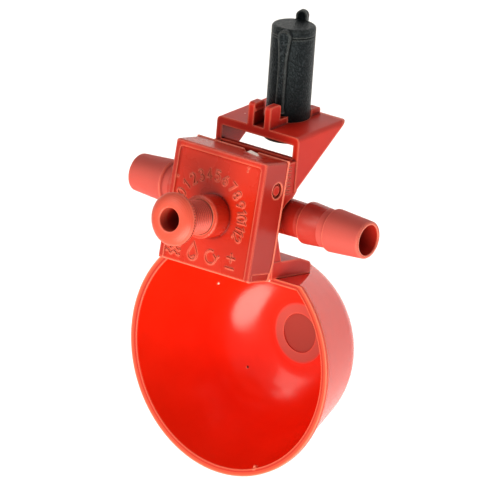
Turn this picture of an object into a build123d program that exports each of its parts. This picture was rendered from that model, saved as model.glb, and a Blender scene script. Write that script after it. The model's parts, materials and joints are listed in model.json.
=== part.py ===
"""Rocking poultry drinking cup with a counterweight, on a barbed hose tee.

Millimetres, in the position of use: X runs along the hose tee, Y from the
bowl towards the counterweight, Z up. The origin is on the tee's axis, midway
between its two ends. The rocker carries the bowl and the counterweight and
turns about X on two studs in the side walls of the valve body.
"""
import os
from math import cos, pi, radians, sin, tan

from build123d import *

# Clearances
running_gap = 0.07        # radial, studs in their holes and screw in its thread
side_gap = 0.35           # between the rocker's ears and the body's side walls
seat_gap = 0.05           # between parts that rest on each other
past = 1.5                # how far a cut runs past what it cuts

# Tee with two hose tails, revolved about X
tee_half_length = 35.2
tee_centre_radius = 4.7   # at the middle, under the barrel
tail_stem_radius = 4.35
tail_bore_radius = 3.85   # at the mouth
tee_core_radius = 3.0     # at the middle
shoulder_gap = 2.9        # from the valve body's side wall to the inner barb
inner_barb_radius = 5.25
barb_pitch = 7.8          # from the inner barb to the outer one
outer_barb_radius = 5.35
barb_ramp = 0.35          # length of the rising side of a barb
barb_land = 0.8           # cylindrical crest of a barb
barb_root_radius = 4.7    # where the inner barb's taper ends
tail_mouth_radius = 4.65
barb_rounding = 0.25
mouth_rounding = 0.55

# Valve body: face plate, walls, barrel and boss
face_height = 16.5        # front of the face plate above the tee's axis
body_half_width = 13.85
body_top = 14.6
body_bottom = -15.0
body_depth = 9.0
body_wall = 1.3
body_corner_radius = 0.7
face_edge_rounding = 0.5
rear_lip_width = 0.5      # bead round the rear edges of the side and top walls
rear_lip_relief = 0.25
rear_lip_rounding = 0.15
panel_border = 1.5        # raised border of the face
panel_relief = 0.45
panel_bevel = 0.3         # sloped inner side of the border
wall_step_height = 1.9    # lower strip of the side walls, set in a little
wall_step_depth = 0.2
wall_step_front = 1.3      # from the face to where the step begins
lower_back_cut = 0.9      # the side walls are shallower at their lower end
lower_back_cut_length = 4.6
barrel_y = -1.5
barrel_radius = 5.3
boss_height = 5.0
boss_edge_rounding = 0.5
thread_core_radius = 4.3
top_notch_x = 2.3
top_notch_radius = 2.7
top_notch_depth = 0.95
top_notch_length = 2.4

# Water inlet, valve seat and ports inside the barrel
chamber_floor = 5.2       # above the tee's axis
inlet_radius = 1.3
seat_ring_wall = 0.8
seat_ring_height = 0.7
outlet_width = 4.0
outlet_height = 3.2

# Rocker pivot and how far the rocker is tipped at rest
pivot_y = 7.6
pivot_z = 10.6
pivot_stud_radius = 1.86
stud_end_recess = 0.25    # below the outer face of the side wall
stud_nose_radius = 1.35
stud_nose_length = 0.45
rocker_tip_deg = 7.4
rocker_travel_deg = 6.0

# Rocker, in its own frame: v from the pivot towards the weight, w up
gusset_joggle = 0.3       # the gussets stand out this much from the ears
gusset_thickness = 1.6
ear_thickness = 1.5
front_plane = -8.9        # w of the channel's front face
shelf_height = 11.2       # v of the shelf's top at its front edge
shelf_tilt_deg = 4.0
shelf_thickness = 2.1
shelf_depth = 18.9
shelf_corner_radius = 1.2
window_floor = 5.7        # v of the window's lower edge
cross_bar_height = 2.4
cross_bar_thickness = 1.5
gusset_tip = -2.4         # v where the oblique edge reaches the front plane
ear_top = 4.4
ear_front = 4.2
ear_corner = 2.6          # cut off the ear's upper front corner
ear_neck_rise = 1.0       # the ear is higher where it joins the channel
ear_neck_front = 2.2      # w, from the channel's front, where it stops being higher
ear_neck_run = 1.8
ear_joint = 1.2           # the ears reach this far behind the channel's front
tee_gap = 0.45            # of the notch round the tee, at rest and tipped
arm_front = 4.9           # w of the arm's front edge at its widest
arm_front_v = -12.0
arm_run = 4.0             # v over which the arm's front edge steps out
arm_back_drop = 2.9       # w from the notch to the foot along the arm's back edge
arm_foot_joint = 0.5      # the arms reach this far into the foot
stop_pad_width = 3.0
stop_pad_half_length = 1.2
stop_pad_y = -3.0
stop_pad_root = 1.5
stop_pad_slack = 0.35     # lets the tipped pad's corner clear the face plate
stud_chamfer = 0.2
lug_inner = 1.6
lug_thickness = 1.8
lug_depth = 4.0
lug_height = 5.5
lug_bump_radius = 0.6
lug_bump_sunk = 0.25
lug_bump_drop = 1.7
lug_rounding = 0.9
lug_root = 0.8            # ribs and lugs reach this far into the shelf
ridge_height = 1.6
rear_ridge_inner = 2.2
rear_ridge_thickness = 2.2
rear_ridge_inset = 0.25
lifter_radius = 0.8       # round bars that lift the valve stem
lifter_gap = 0.4          # from the stem's shaft
lifter_slot_side = 0.75   # room beside a lifter in the barrel's slot
lifter_slot_end = 0.5     # room above and below its travel

# Foot block that carries the bowl
foot_joggle = 0.1         # the foot stands out this much from the ears
foot_height = 4.4         # at its front face
foot_front = -2.7         # w of its front face
foot_depth = 15.5
foot_back_drop = 2.6      # its top is lower at the back
foot_slope = 1.0          # and slopes to here over the straight part
foot_straight = 11.2
foot_rounding = 1.6
socket_half_width = 9.5
socket_depth = 2.4
socket_length = 9.0
socket_front_wall = 2.6

# Drinking bowl, revolved about w and cut flat at the back
bowl_radius = 30.0
bowl_back_cut = 7.6       # depth of the segment cut off by the flat back wall
bowl_back_v = -23.4       # v of that wall at the rim
bowl_rim_w = -4.4
bowl_depth = 29.7
bowl_wall = 1.3
rim_lip_height = 1.0
rim_lip_overhang = 0.3
bowl_side_draft_deg = 20.0
bowl_corner_radius = 15.4
bowl_back_draft_deg = 4.4
disc_radius = 4.9         # flat disc sunk in the bottom of the bowl
disc_depth = 0.3

# Counterweight, a casting with two ribs
weight_radius = 5.4
weight_axis_w = -20.4     # where its axis crosses the shelf
weight_tilt_deg = 1.0     # from square to the channel's front
weight_above_shelf = 23.1
weight_below_shelf = 5.6
weight_hole_gap = 0.06
weight_turn_deg = 16.0
weight_edge_rounding = 0.8
groove_drop = 2.3
groove_size = 0.22
rib_width = 2.3
rib_height = 1.0
rib_root = 0.6            # the ribs start this far inside the cylinder
front_rib_head = 3.5
rear_rib_head = 2.9
rib_head_length = 7.5     # over which a rib widens to its head
rib_gap = 0.5             # above the shelf's ridges
rib_rounding = 0.45
front_rib_drop = 0.1
rear_rib_rise = 2.3

# Valve stem with its seal, spring and adjusting screw
valve_lift = 1.0
seal_radius = 2.6
seal_thickness = 1.4
seal_rounding = 0.2
stem_cup_radius = 3.15
stem_cup_wall = 0.6
stem_cup_grip = 0.55      # share of the seal's thickness that the cup holds
joint = 0.3               # overlap of stretches of one turned part
stem_shaft_radius = 1.7
collar_play = 0.6         # radial, between the stem's collar and the barrel
stem_collar_thickness = 1.2
spigot_radius = 1.35
spigot_length = 2.6
spigot_chamfer = 0.35
spring_wire = 0.45
spring_radius = 2.1       # mean
spring_turns = 5.5
spring_length = 9.5
spring_end_gap = 0.02
spring_seat_thickness = 1.1
spring_seat_chamfer = 0.25
screw_inner_end = 17.0
screw_web = 1.4
screw_bore_radius = 2.84
screw_flange_radius = 6.5
screw_flange_top = 33.5   # mouth of the screw's bore
screw_flange_crown = 1.5  # rise from the rim to the bore's mouth
screw_flange_rim = 1.4
screw_neck_radius = 5.0
screw_rim_chamfer = 0.3
screw_mouth_rounding = 0.25
screw_mouth_flat = 0.5
screw_tip_chamfer = 0.4
knurl_count = 60
knurl_radius = 0.16
knurl_length = 1.8

face_back = face_height - body_wall
body_back = face_height - body_depth
ear_half_width = body_half_width - body_wall - side_gap
gusset_half_width = ear_half_width + gusset_joggle
foot_half_width = ear_half_width + foot_joggle
inner_barb_start = body_half_width + shoulder_gap
outer_barb_start = inner_barb_start + barb_pitch
seat_ring_radius = inlet_radius + seat_ring_wall
seat_top = chamber_floor + seat_ring_height
stem_collar_radius = thread_core_radius - collar_play
lifter_z = pivot_z - lifter_radius
collar_low = lifter_z + lifter_radius + seat_gap
spring_low = collar_low + stem_collar_thickness + spring_end_gap
spring_high = spring_low + spring_length + spring_end_gap
bowl_back_flat = bowl_radius - bowl_back_cut
bowl_centre_v = bowl_back_v - bowl_back_flat
rocker_place = Location((0, pivot_y, pivot_z), (rocker_tip_deg, 0, 0))
shelf_rise = tan(radians(shelf_tilt_deg))


def to_rocker(y, z, tip_deg=rocker_tip_deg):
    """A point of the valve body's frame, in the tipped rocker's (v, w)."""
    tip = radians(tip_deg)
    dy = y - pivot_y
    dz = z - pivot_z
    return (dy * cos(tip) + dz * sin(tip), -dy * sin(tip) + dz * cos(tip))


def back_wall_set(depth_w):
    """How far the bowl's drafted back wall is set in at this w, negative below the rim."""
    return -depth_w * tan(radians(bowl_back_draft_deg))


def side_plate(points, x_low, x_high):
    """A plate across X from an outline in (y, z)."""
    outline = make_face(Polyline(*points, close=True))
    face = Plane.YZ * outline
    return Pos(x_low, 0, 0) * extrude(face, x_high - x_low, dir=(1, 0, 0))


def both_sides(shape):
    return shape + mirror(shape, about=Plane.YZ)


def block(x_range, y_range, z_range):
    size = [high - low for low, high in (x_range, y_range, z_range)]
    middle = [(high + low) / 2 for low, high in (x_range, y_range, z_range)]
    return Pos(*middle) * Box(*size)


def rod_along_z(radius, low, high, y=0.0):
    return Pos(0, y, (low + high) / 2) * Cylinder(radius, high - low)


def rod_along_x(radius, low, high, y, z):
    return Pos((low + high) / 2, y, z) * Rot(0, 90, 0) * Cylinder(radius, high - low)


def make_tee():
    """Hose tee: two barbed tails either side of a swollen middle."""
    inner_crest = inner_barb_start + barb_ramp
    outer_crest = outer_barb_start + barb_ramp
    half = [
        (0, 0),
        (0, tee_centre_radius),
        (inner_barb_start, tail_stem_radius),
        (inner_crest, inner_barb_radius),
        (inner_crest + barb_land, inner_barb_radius),
        (outer_barb_start, barb_root_radius),
        (outer_crest, outer_barb_radius),
        (outer_crest + barb_land, outer_barb_radius),
        (tee_half_length, tail_mouth_radius),
        (tee_half_length, 0),
    ]
    profile = make_face(Polyline(*half, close=True))
    corners = profile.vertices()
    crests = [corner for corner in corners if abs(corner.X - inner_crest) < seat_gap]
    crests += [corner for corner in corners if abs(corner.X - outer_crest) < seat_gap]
    profile = fillet(crests, barb_rounding)
    mouth = profile.vertices().filter_by(lambda corner: corner.Y > tee_core_radius).sort_by(Axis.X)[-1:]
    profile = fillet(mouth, mouth_rounding)
    tail = revolve(profile, Axis.X)
    return tail + mirror(tail, about=Plane.YZ)


def make_tee_bore():
    """Bore of the tee, tapered from both mouths to the middle for its core pins."""
    end = tee_half_length + past
    half = [(0, 0), (0, tee_core_radius), (end, tail_bore_radius), (end, 0)]
    bore = revolve(make_face(Polyline(*half, close=True)), Axis.X)
    return bore + mirror(bore, about=Plane.YZ)


def make_rear_lip():
    """Bead along the rear edges of the side and top walls."""
    lip_front = body_back + rear_lip_width
    cut_end = body_bottom + lower_back_cut_length
    lip_top = body_top + rear_lip_relief
    lip_outside = body_half_width + rear_lip_relief
    side = side_plate(
        [
            (lip_top, body_back),
            (cut_end, body_back),
            (body_bottom, body_back + lower_back_cut),
            (body_bottom, lip_front + lower_back_cut),
            (cut_end, lip_front),
            (lip_top, lip_front),
        ],
        body_half_width - body_wall / 2,
        lip_outside,
    )
    side = fillet(side.faces().sort_by(Axis.X)[-1].edges(), rear_lip_rounding)
    top = block((-body_half_width, body_half_width), (body_top - body_wall / 2, lip_top), (body_back, lip_front))
    top = fillet(top.faces().sort_by(Axis.Y)[-1].edges().filter_by(Axis.X), rear_lip_rounding)
    return top + both_sides(side)


def make_valve_body():
    """One moulding: open-backed housing, barrel, boss, tee and valve seat."""
    width = 2 * body_half_width
    height = body_top - body_bottom
    centre_y = (body_top + body_bottom) / 2
    shell = Pos(0, centre_y, face_height - body_depth / 2) * Box(width, height, body_depth)
    upright = shell.edges().filter_by(Axis.Z).sort_by(Axis.Y)[-2:]
    shell = fillet(upright, body_corner_radius)
    front = shell.faces().sort_by(Axis.Z)[-1]
    shell = fillet(front.edges(), face_edge_rounding)

    cavity = block(
        (-body_half_width + body_wall, body_half_width - body_wall),
        (body_bottom - past, body_top - body_wall),
        (body_back - past, face_back),
    )
    panel = block(
        (-body_half_width + panel_border, body_half_width - panel_border),
        (body_bottom - past, body_top - panel_border),
        (face_height - panel_relief, face_height + past),
    )
    panel = fillet(panel.edges().filter_by(Axis.Z).sort_by(Axis.Y)[-2:], body_corner_radius)
    panel = chamfer(panel.faces().sort_by(Axis.Z)[0].edges(), panel_bevel)
    step = block(
        (body_half_width - wall_step_depth, body_half_width + past),
        (body_bottom - past, body_bottom + wall_step_height),
        (body_back - past, face_height - wall_step_front),
    )
    back_cut = side_plate(
        [
            (body_bottom - past, body_back - past),
            (body_bottom - past, body_back + lower_back_cut),
            (body_bottom, body_back + lower_back_cut),
            (body_bottom + lower_back_cut_length, body_back),
            (body_bottom + lower_back_cut_length, body_back - past),
        ],
        -body_half_width - past,
        body_half_width + past,
    )
    notch_y = body_top + top_notch_radius - top_notch_depth
    notch = Pos(top_notch_x, notch_y, body_back) * Cylinder(top_notch_radius, 2 * top_notch_length)
    housing = shell - cavity - panel - both_sides(step) - back_cut
    housing = housing + make_rear_lip() - notch

    boss_top = face_height + boss_height
    barrel = rod_along_z(barrel_radius, 0, boss_top, barrel_y)
    barrel = fillet(barrel.edges().sort_by(Axis.Z)[-1:], boss_edge_rounding)
    chamber = rod_along_z(thread_core_radius, chamber_floor, boss_top + past, barrel_y)
    seat_ring = rod_along_z(seat_ring_radius, chamber_floor - joint, seat_top, barrel_y)
    inlet = rod_along_z(inlet_radius, 0, seat_top + past, barrel_y)
    outlet = block(
        (-outlet_width / 2, outlet_width / 2),
        (barrel_y - barrel_radius - past, barrel_y - stem_cup_radius),
        (chamber_floor, chamber_floor + outlet_height),
    )
    lifter_half_slot = lifter_radius + lifter_slot_side
    slot_low = lifter_z - lifter_radius - valve_lift - lifter_slot_end
    slot_high = lifter_z + lifter_radius + lifter_slot_end
    lifter_slots = block(
        (-barrel_radius - past, barrel_radius + past),
        (barrel_y - lifter_half_slot, barrel_y + lifter_half_slot),
        (slot_low, slot_high),
    )
    outside = body_half_width + past
    pivot_holes = rod_along_x(pivot_stud_radius + running_gap, -outside, outside, pivot_y, pivot_z)
    solid = housing - pivot_holes + make_tee() + barrel
    solid = solid - chamber - make_tee_bore() - lifter_slots - outlet
    return solid + seat_ring - inlet


def weight_frame():
    """Where the counterweight's axis crosses the shelf, with Z along the weight."""
    reach = weight_axis_w - front_plane
    centre_v = shelf_height - reach * shelf_rise
    return Location((0, centre_v, weight_axis_w), (-90 + weight_tilt_deg, 0, 0))


def make_rocker():
    """Channel with shelf, gussets, ears, arms and foot, in the rocker's frame."""
    back_plane = front_plane - shelf_depth
    back_height = shelf_height + shelf_depth * shelf_rise
    channel = side_plate(
        [
            (gusset_tip, front_plane),
            (shelf_height, front_plane),
            (back_height, back_plane),
        ],
        -gusset_half_width,
        gusset_half_width,
    )
    shelf_top = channel.faces().sort_by(Axis.Y)[-1]
    shelf_sides = shelf_top.edges().sort_by(lambda edge: abs(edge.center().X))[-2:]
    channel = fillet(shelf_sides, shelf_corner_radius)
    hollow_front = shelf_height - shelf_thickness
    hollow = side_plate(
        [
            (gusset_tip - past, front_plane + past),
            (hollow_front - past * shelf_rise, front_plane + past),
            (back_height - shelf_thickness + past * shelf_rise, back_plane - past),
            (gusset_tip - past, back_plane - past),
        ],
        -gusset_half_width + gusset_thickness,
        gusset_half_width - gusset_thickness,
    )
    channel = channel - hollow
    cross_bar = block(
        (-ear_half_width, ear_half_width),
        (window_floor - cross_bar_height, window_floor),
        (front_plane - cross_bar_thickness, front_plane),
    )

    foot_v = bowl_centre_v + bowl_back_flat
    foot_top = foot_v + foot_height
    tee_rest = to_rocker(0, 0)
    tee_end = to_rocker(0, 0, rocker_tip_deg + rocker_travel_deg)
    notch_front = tee_end[1] + tee_centre_radius + tee_gap
    ear = side_plate(
        [
            (ear_top + ear_neck_rise, front_plane - ear_joint),
            (ear_top + ear_neck_rise, front_plane + ear_neck_front),
            (ear_top, front_plane + ear_neck_front + ear_neck_run),
            (ear_top, ear_front - ear_corner),
            (ear_top - ear_corner, ear_front),
            (arm_front_v + arm_run, arm_front),
            (arm_front_v, arm_front),
            (foot_top - arm_foot_joint, foot_front),
            (foot_top - arm_foot_joint, notch_front - arm_back_drop),
            (tee_end[0] - ear_joint, notch_front),
            (tee_rest[0], notch_front),
            (gusset_tip - ear_joint, front_plane),
            (gusset_tip, front_plane - ear_joint),
        ],
        ear_half_width - ear_thickness,
        ear_half_width,
    )
    ear = ear - rod_along_x(tee_centre_radius + tee_gap, 0, ear_half_width + past, *tee_rest)
    ear = ear - rod_along_x(tee_centre_radius + tee_gap, 0, ear_half_width + past, *tee_end)

    stop_v, stop_w = to_rocker(stop_pad_y, face_back - seat_gap)
    stop_pad = block(
        (ear_half_width - stop_pad_width, ear_half_width),
        (stop_v - stop_pad_half_length, stop_v + stop_pad_half_length),
        (arm_front - stop_pad_root, stop_w - stop_pad_slack),
    )
    stud_end = body_half_width - stud_end_recess
    nose_root = stud_end - stud_nose_length
    nose = rod_along_x(stud_nose_radius, nose_root - joint, stud_end, 0, 0)
    nose = chamfer(nose.edges().sort_by(Axis.X)[-1:], stud_chamfer)
    stud = rod_along_x(pivot_stud_radius, ear_half_width - ear_thickness, nose_root, 0, 0) + nose
    lifter_v, lifter_w = to_rocker(barrel_y, lifter_z)
    lifter_tip = stem_shaft_radius + lifter_gap
    lifter = rod_along_x(lifter_radius, lifter_tip, ear_half_width - joint, lifter_v, lifter_w)
    side = ear + stop_pad + stud + lifter

    foot_back = foot_front - foot_depth
    foot = side_plate(
        [
            (foot_v + seat_gap, foot_front),
            (foot_top, foot_front),
            (foot_top - foot_slope, foot_front - foot_straight),
            (foot_top - foot_back_drop, foot_back),
            (foot_v + seat_gap - back_wall_set(foot_back - bowl_rim_w), foot_back),
            (foot_v + seat_gap, bowl_rim_w),
        ],
        -foot_half_width,
        foot_half_width,
    )
    top_rear = foot.edges().filter_by(Axis.X).sort_by(Axis.Y)[-3:].sort_by(Axis.Z)[:2]
    foot = fillet(top_rear, foot_rounding)
    socket = block(
        (-socket_half_width, socket_half_width),
        (foot_v - past, foot_v + socket_depth),
        (foot_front - socket_front_wall - socket_length, foot_front - socket_front_wall),
    )
    rocker = channel + cross_bar + both_sides(side) + (foot - socket)
    return rocker + make_lugs_and_ridges() - make_weight_hole()


def shelf_block(x_range, height, w_range):
    """A rib standing on the sloping shelf, on both sides of its middle."""
    low, high = w_range
    points = []
    for w, extra in ((high, -lug_root), (high, height), (low, height), (low, -lug_root)):
        points.append((shelf_height + (front_plane - w) * shelf_rise + extra, w))
    return side_plate(points, *x_range)


def make_lugs_and_ridges():
    """Pair of snap lugs at the shelf's front, and the low ridges behind them."""
    lug_back = front_plane - lug_depth
    back_plane = front_plane - shelf_depth
    lug_outer = lug_inner + lug_thickness
    lug = shelf_block((lug_inner, lug_outer), lug_height, (lug_back, front_plane))
    lug = fillet(lug.edges().filter_by(Axis.X).sort_by(Axis.Y)[-2:], lug_rounding)
    bump_v = shelf_height + lug_height - lug_bump_drop
    bump_place = Pos(lug_inner + lug_bump_sunk, bump_v, front_plane - lug_depth / 2)
    bump = bump_place * Cylinder(lug_bump_radius, lug_depth - 2 * joint)
    front_ridge = shelf_block((lug_inner, lug_outer), ridge_height, (weight_axis_w, lug_back + joint))
    rear_ridge = shelf_block(
        (rear_ridge_inner, rear_ridge_inner + rear_ridge_thickness),
        ridge_height,
        (back_plane + rear_ridge_inset, weight_axis_w),
    )
    rear_end = rear_ridge.edges().filter_by(Axis.X).sort_by(Axis.Y)[-2:].sort_by(Axis.Z)[:1]
    rear_ridge = fillet(rear_end, lug_rounding)
    return both_sides(lug + bump + front_ridge + rear_ridge)


def make_weight_hole():
    return weight_frame() * Cylinder(weight_radius + weight_hole_gap, 4 * (shelf_thickness + ridge_height))


def make_counterweight():
    """Black casting: cylinder with a grooved head and two ribs that end in rounded heads."""
    body = rod_along_z(weight_radius, -weight_below_shelf, weight_above_shelf)
    body = fillet(body.edges().sort_by(Axis.Z)[-1:], weight_edge_rounding)
    groove_z = weight_above_shelf - groove_drop
    groove = Pos(0, 0, groove_z) * Torus(weight_radius, groove_size)
    body = body - groove

    def rib(turn, top, head_width):
        low = ridge_height + rib_gap
        reach = weight_radius + rib_height
        head_z = top - head_width / 2
        right = [(rib_width / 2, low), (rib_width / 2, top - rib_head_length), (head_width / 2, head_z)]
        left = [(-x, z) for x, z in reversed(right)]
        nose = ThreePointArc(right[-1], (0, top), left[0])
        outline = make_face(Polyline(*right) + nose + Polyline(*left) + Line(left[-1], right[0]))
        shape = extrude(Plane.XZ * outline, -reach, dir=(0, -1, 0))
        rim = shape.faces().sort_by(Axis.Y)[-1].edges().sort_by(Axis.Z)[1:]
        shape = fillet(rim, rib_rounding)
        core = rod_along_z(weight_radius - rib_root, low - past, top + past)
        return Rot(0, 0, turn) * (shape - core)

    front_rib = rib(180 + weight_turn_deg, weight_above_shelf - front_rib_drop, front_rib_head)
    rear_rib = rib(weight_turn_deg, weight_above_shelf + rear_rib_rise, rear_rib_head)
    return weight_frame() * (body + front_rib + rear_rib)


def bowl_section(inset):
    """Half section of the bowl's outer or inner surface, from the rim to the axis."""
    draft = radians(bowl_side_draft_deg)
    corner = bowl_corner_radius - inset
    depth = bowl_depth - inset
    upright = bowl_depth - bowl_corner_radius * (1 - sin(draft))
    rim_outside = bowl_radius - rim_lip_overhang
    centre_x = rim_outside - bowl_corner_radius * cos(draft) - upright * tan(draft)
    centre = (centre_x, -(bowl_depth - bowl_corner_radius))
    tangent = (centre[0] + corner * cos(draft), centre[1] - corner * sin(draft))
    rim_radius = tangent[0] + (-tangent[1]) * tan(draft)
    middle_angle = (-draft - pi / 2) / 2
    middle = (centre[0] + corner * cos(middle_angle), centre[1] + corner * sin(middle_angle))
    floor_corner = (centre[0], -depth)
    wall = Line((rim_radius, 0), tangent)
    corner_arc = ThreePointArc(tangent, middle, floor_corner)
    floor = Line(floor_corner, (0, -depth))
    axis = Line((0, -depth), (0, 0))
    top = Line((0, 0), (rim_radius, 0))
    return make_face(wall + corner_arc + floor + axis + top)


def make_bowl():
    """Bowl with a lipped rim and a flat back, and the tongue that plugs into the foot."""
    upright = Plane.XZ
    outer = revolve(upright * bowl_section(0), Axis.Z)
    lip = Pos(0, 0, -rim_lip_height / 2) * Cylinder(bowl_radius, rim_lip_height)
    lip = lip - Pos(0, 0, -rim_lip_height / 2) * Cylinder(bowl_radius - 2 * bowl_wall, rim_lip_height)
    far = 2 * bowl_radius

    def before_back_wall(inset):
        top_v = bowl_back_flat - inset - back_wall_set(far)
        low_v = bowl_back_flat - inset - back_wall_set(-far)
        return side_plate([(-far, far), (top_v, far), (low_v, -far), (-far, -far)], -far, far)

    full = (outer + lip) & before_back_wall(0)
    inner = revolve(upright * bowl_section(bowl_wall), Axis.Z) & before_back_wall(bowl_wall)
    shell = full - inner
    disc = rod_along_z(disc_radius, bowl_wall - bowl_depth - disc_depth, bowl_wall - bowl_depth + joint)
    shell = shell - disc

    foot_rest_w = foot_front - bowl_rim_w
    tongue = block(
        (-socket_half_width + seat_gap, socket_half_width - seat_gap),
        (bowl_back_flat - bowl_wall, bowl_back_flat + socket_depth - seat_gap),
        (
            foot_rest_w - socket_front_wall - socket_length + seat_gap,
            foot_rest_w - socket_front_wall - seat_gap,
        ),
    )
    return Pos(0, bowl_centre_v, bowl_rim_w) * (shell + (tongue - inner))


def make_valve_stem():
    """Stem: cup that holds the seal, shaft, collar that the lifters raise, spring spigot."""
    seal_low = seat_top + valve_lift
    cup_low = seal_low + seal_thickness * (1 - stem_cup_grip)
    cup_high = seal_low + seal_thickness + stem_cup_wall
    cup = rod_along_z(stem_cup_radius, cup_low, cup_high, barrel_y)
    cup = cup - rod_along_z(seal_radius, cup_low - past, seal_low + seal_thickness, barrel_y)
    shaft = rod_along_z(stem_shaft_radius, cup_high - joint, collar_low + joint, barrel_y)
    collar = rod_along_z(stem_collar_radius, collar_low, collar_low + stem_collar_thickness, barrel_y)
    spigot_low = collar_low + stem_collar_thickness - joint
    spigot = rod_along_z(spigot_radius, spigot_low, spigot_low + spigot_length, barrel_y)
    spigot = chamfer(spigot.edges().sort_by(Axis.Z)[-1:], spigot_chamfer)
    return cup + shaft + collar + spigot


def make_valve_seal():
    seal_low = seat_top + valve_lift
    seal = rod_along_z(seal_radius, seal_low, seal_low + seal_thickness, barrel_y)
    return fillet(seal.edges().sort_by(Axis.Z)[:1], seal_rounding)


def make_valve_spring():
    """Closed-end spring: a swept wire of round section."""
    coil_length = spring_length - spring_wire
    path = Helix(coil_length / spring_turns, coil_length, spring_radius)
    start = path @ 0
    section = Plane(start, z_dir=path % 0) * Circle(spring_wire / 2)
    coil = sweep(section, path)
    return Pos(0, barrel_y, spring_low + spring_wire / 2) * coil


def make_spring_seat():
    seat = rod_along_z(screw_bore_radius - running_gap, spring_high, spring_high + spring_seat_thickness, barrel_y)
    return chamfer(seat.edges().sort_by(Axis.Z)[:1], spring_seat_chamfer)


def make_adjusting_screw():
    """Hollow screw: threaded shank, web, and a crowned flange with a knurled rim."""
    shank_radius = thread_core_radius - running_gap
    rim_top = screw_flange_top - screw_flange_crown
    rim_low = rim_top - screw_flange_rim
    shank = rod_along_z(shank_radius, screw_inner_end, rim_low + joint)
    shank = chamfer(shank.edges().sort_by(Axis.Z)[:1], screw_tip_chamfer)
    crown = [
        (0, rim_low),
        (screw_neck_radius, rim_low),
        (screw_flange_radius - screw_rim_chamfer, rim_low + screw_rim_chamfer),
        (screw_flange_radius, rim_low + 2 * screw_rim_chamfer),
        (screw_flange_radius, rim_top),
    ]
    mouth = (screw_bore_radius + screw_mouth_flat, screw_flange_top)
    crown_arc = TangentArc(mouth, (screw_flange_radius, rim_top), tangent=(1, 0))
    outline = Polyline(*crown) + crown_arc + Polyline(mouth, (0, screw_flange_top), (0, rim_low))
    flange = revolve(Plane.XZ * make_face(outline), Axis.Z)
    knurls = [
        Rot(0, 0, 360 * i / knurl_count) * Pos(screw_flange_radius, 0, rim_top) * Cylinder(knurl_radius, knurl_length)
        for i in range(knurl_count)
    ]
    pocket_top = spring_high + spring_seat_thickness + seat_gap
    pocket = rod_along_z(screw_bore_radius, screw_inner_end - past, pocket_top)
    bore = rod_along_z(screw_bore_radius, pocket_top + screw_web, screw_flange_top + past)
    screw = shank + flange - knurls - pocket - bore
    mouth_edge = screw.faces().filter_by(Plane.XY).sort_by(Axis.Z)[-1].edges().sort_by(SortBy.LENGTH)[:1]
    screw = fillet(mouth_edge, screw_mouth_rounding)
    return Pos(0, barrel_y, 0) * screw


parts = {
    "valve_body": make_valve_body(),
    "adjusting_screw": make_adjusting_screw(),
    "spring_seat": make_spring_seat(),
    "valve_spring": make_valve_spring(),
    "valve_stem": make_valve_stem(),
    "valve_seal": make_valve_seal(),
    "rocker_bracket": rocker_place * make_rocker(),
    "drinking_bowl": rocker_place * make_bowl(),
    "counterweight": rocker_place * make_counterweight(),
}

os.makedirs("parts", exist_ok=True)
for name, shape in parts.items():
    export_step(shape, f"parts/{name}.step")
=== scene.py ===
import json
import math

import bmesh
import bpy
from mathutils import Matrix, Vector


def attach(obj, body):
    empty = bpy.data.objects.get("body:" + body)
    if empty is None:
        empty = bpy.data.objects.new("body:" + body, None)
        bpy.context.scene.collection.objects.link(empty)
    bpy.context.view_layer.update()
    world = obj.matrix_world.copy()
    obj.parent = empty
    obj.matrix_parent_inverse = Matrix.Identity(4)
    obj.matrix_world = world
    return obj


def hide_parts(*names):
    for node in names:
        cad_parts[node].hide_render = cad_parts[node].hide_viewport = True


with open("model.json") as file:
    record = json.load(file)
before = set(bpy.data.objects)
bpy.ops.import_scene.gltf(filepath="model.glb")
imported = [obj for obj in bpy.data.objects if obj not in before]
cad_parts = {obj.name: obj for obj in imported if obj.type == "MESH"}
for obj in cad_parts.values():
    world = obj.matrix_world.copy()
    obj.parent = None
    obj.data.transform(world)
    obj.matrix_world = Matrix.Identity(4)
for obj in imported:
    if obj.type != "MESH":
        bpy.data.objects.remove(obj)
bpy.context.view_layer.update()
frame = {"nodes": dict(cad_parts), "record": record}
mm = 0.001

# The rocker's own frame, as the solids have it: tipped about the pivot
rocker = {"pivotY": 7.6, "pivotZ": 10.6, "tipDeg": 7.4}
rockerPlace = (Matrix.Translation((0, rocker["pivotY"] * mm, rocker["pivotZ"] * mm))
               @ Matrix.Rotation(math.radians(rocker["tipDeg"]), 4, "X"))

print("camera and studio")

# Solved from points matched between the photograph and the solids, with places in metres
camera = {
    "position": (1.9070, 0.6176, 2.6797),
    "right": (0.7869, 0.1577, -0.5966),
    "up": (-0.2382, 0.9695, -0.0579),
    "back": (0.5693, 0.1877, 0.8004),
    "lens": 996.2,
    "sensor": 36.0,
}


def placeCamera(c):
    data = bpy.data.cameras.new("photoCamera")
    data.lens = c["lens"]
    data.sensor_width = c["sensor"]
    data.clip_end = 30
    obj = bpy.data.objects.new("photoCamera", data)
    bpy.context.scene.collection.objects.link(obj)
    columns = Matrix((c["right"], c["up"], c["back"])).transposed().to_4x4()
    obj.matrix_world = Matrix.Translation(c["position"]) @ columns
    bpy.context.scene.camera = obj


placeCamera(camera)

# Metres; the sky brightens from the horizon up to skyTop
studio = {
    "floorDrop": -0.16,
    "floorSize": 30.0,
    "floorColor": (0.8, 0.82, 0.85, 1),
    "floorRough": 0.9,
    "skyColor": (1.0, 0.99, 0.97, 1),
    "lampColor": (1.0, 0.95, 0.86),
    "contrast": 0.88,
    "skyLow": 0.12,
    "skyHigh": 0.45,
    "skyTop": 0.75,
    "lookAt": (0, -0.015, 0),
}

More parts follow.
